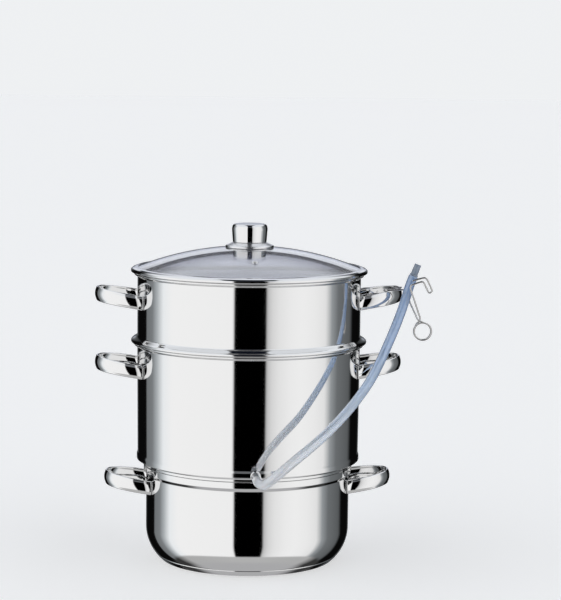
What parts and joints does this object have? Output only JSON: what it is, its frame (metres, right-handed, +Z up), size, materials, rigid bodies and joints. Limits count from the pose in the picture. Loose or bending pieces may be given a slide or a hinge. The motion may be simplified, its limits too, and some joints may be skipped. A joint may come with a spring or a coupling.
{
  "type": "steam juicer",
  "caption": "Stacked stainless steam juicer: water pan, juice kettle with steam cone, spout and clipped silicone hose, pierced fruit basket and domed glass lid with a steel knob.",
  "frame": {"origin": "middle of the base's underside, on the surface that the juicer stands on", "axes": "+Z up along the vessels' common axis, X through the side handles, -Y towards the juice spout"},
  "size_m": [0.3901, 0.3222, 0.395],
  "materials": {
    "steel": "mirror polished stainless steel",
    "satin_steel": "satin stainless steel",
    "spring_wire": "bright spring wire",
    "base_aluminium": "plain aluminium",
    "lid_glass": "clear tempered glass with a blue-grey tint",
    "seal_silicone": "matt silicone",
    "hose_silicone": "translucent bluish silicone",
    "nozzle_plastic": "grey, slightly translucent"
  },
  "bodies": {
    "pan": {"pan_body": "steel", "pan_corner": "steel", "pan_floor": "steel", "pan_base_cap": "steel", "pan_base_disc": "base_aluminium", "pan_handle_left": "steel", "pan_handle_right": "steel"},
    "kettle": {"kettle_rim": "steel", "kettle_body": "steel", "kettle_nest": "steel", "kettle_floor": "steel", "steam_cone": "steel", "juice_spout": "steel", "kettle_handle_left": "steel", "kettle_handle_right": "steel", "juice_hose": "hose_silicone"},
    "basket": {"basket_rim": "steel", "basket_body": "steel", "basket_bead": "steel", "basket_strainer": "satin_steel", "strainer_corner": "satin_steel", "strainer_floor": "satin_steel", "basket_handle_left": "steel", "basket_handle_right": "steel", "hose_clip_spring": "spring_wire", "hose_nozzle": "nozzle_plastic"},
    "lid": {"lid_glass": "lid_glass", "lid_rim_band": "steel", "steam_vent_eyelet": "steel", "lid_knob": "steel", "knob_skirt": "steel", "knob_screw": "steel", "knob_washer": "seal_silicone", "knob_gasket": "seal_silicone"},
    "clip_arm": {"hose_clip_arm": "spring_wire"}
  },
  "joints": [
    {"name": "kettle_lift", "type": "slide", "parent": "pan", "child": "kettle", "axis": [0, 0, 1], "range_m": [0, 0.04]},
    {"name": "basket_lift", "type": "slide", "parent": "kettle", "child": "basket", "axis": [0, 0, 1], "range_m": [0, 0.08], "deforming": ["juice_hose"]},
    {"name": "lid_lift", "type": "slide", "parent": "basket", "child": "lid", "axis": [0, 0, 1], "range_m": [0, 0.06]},
    {"name": "clip_open", "type": "hinge", "parent": "basket", "child": "clip_arm", "pos_m": [0.1992, -0.0448, 0.2737], "axis": [0, 1, 0], "range_deg": [0, 15], "stiffness_Nm_per_rad": 0.08, "springref_deg": -17.19}
  ]
}
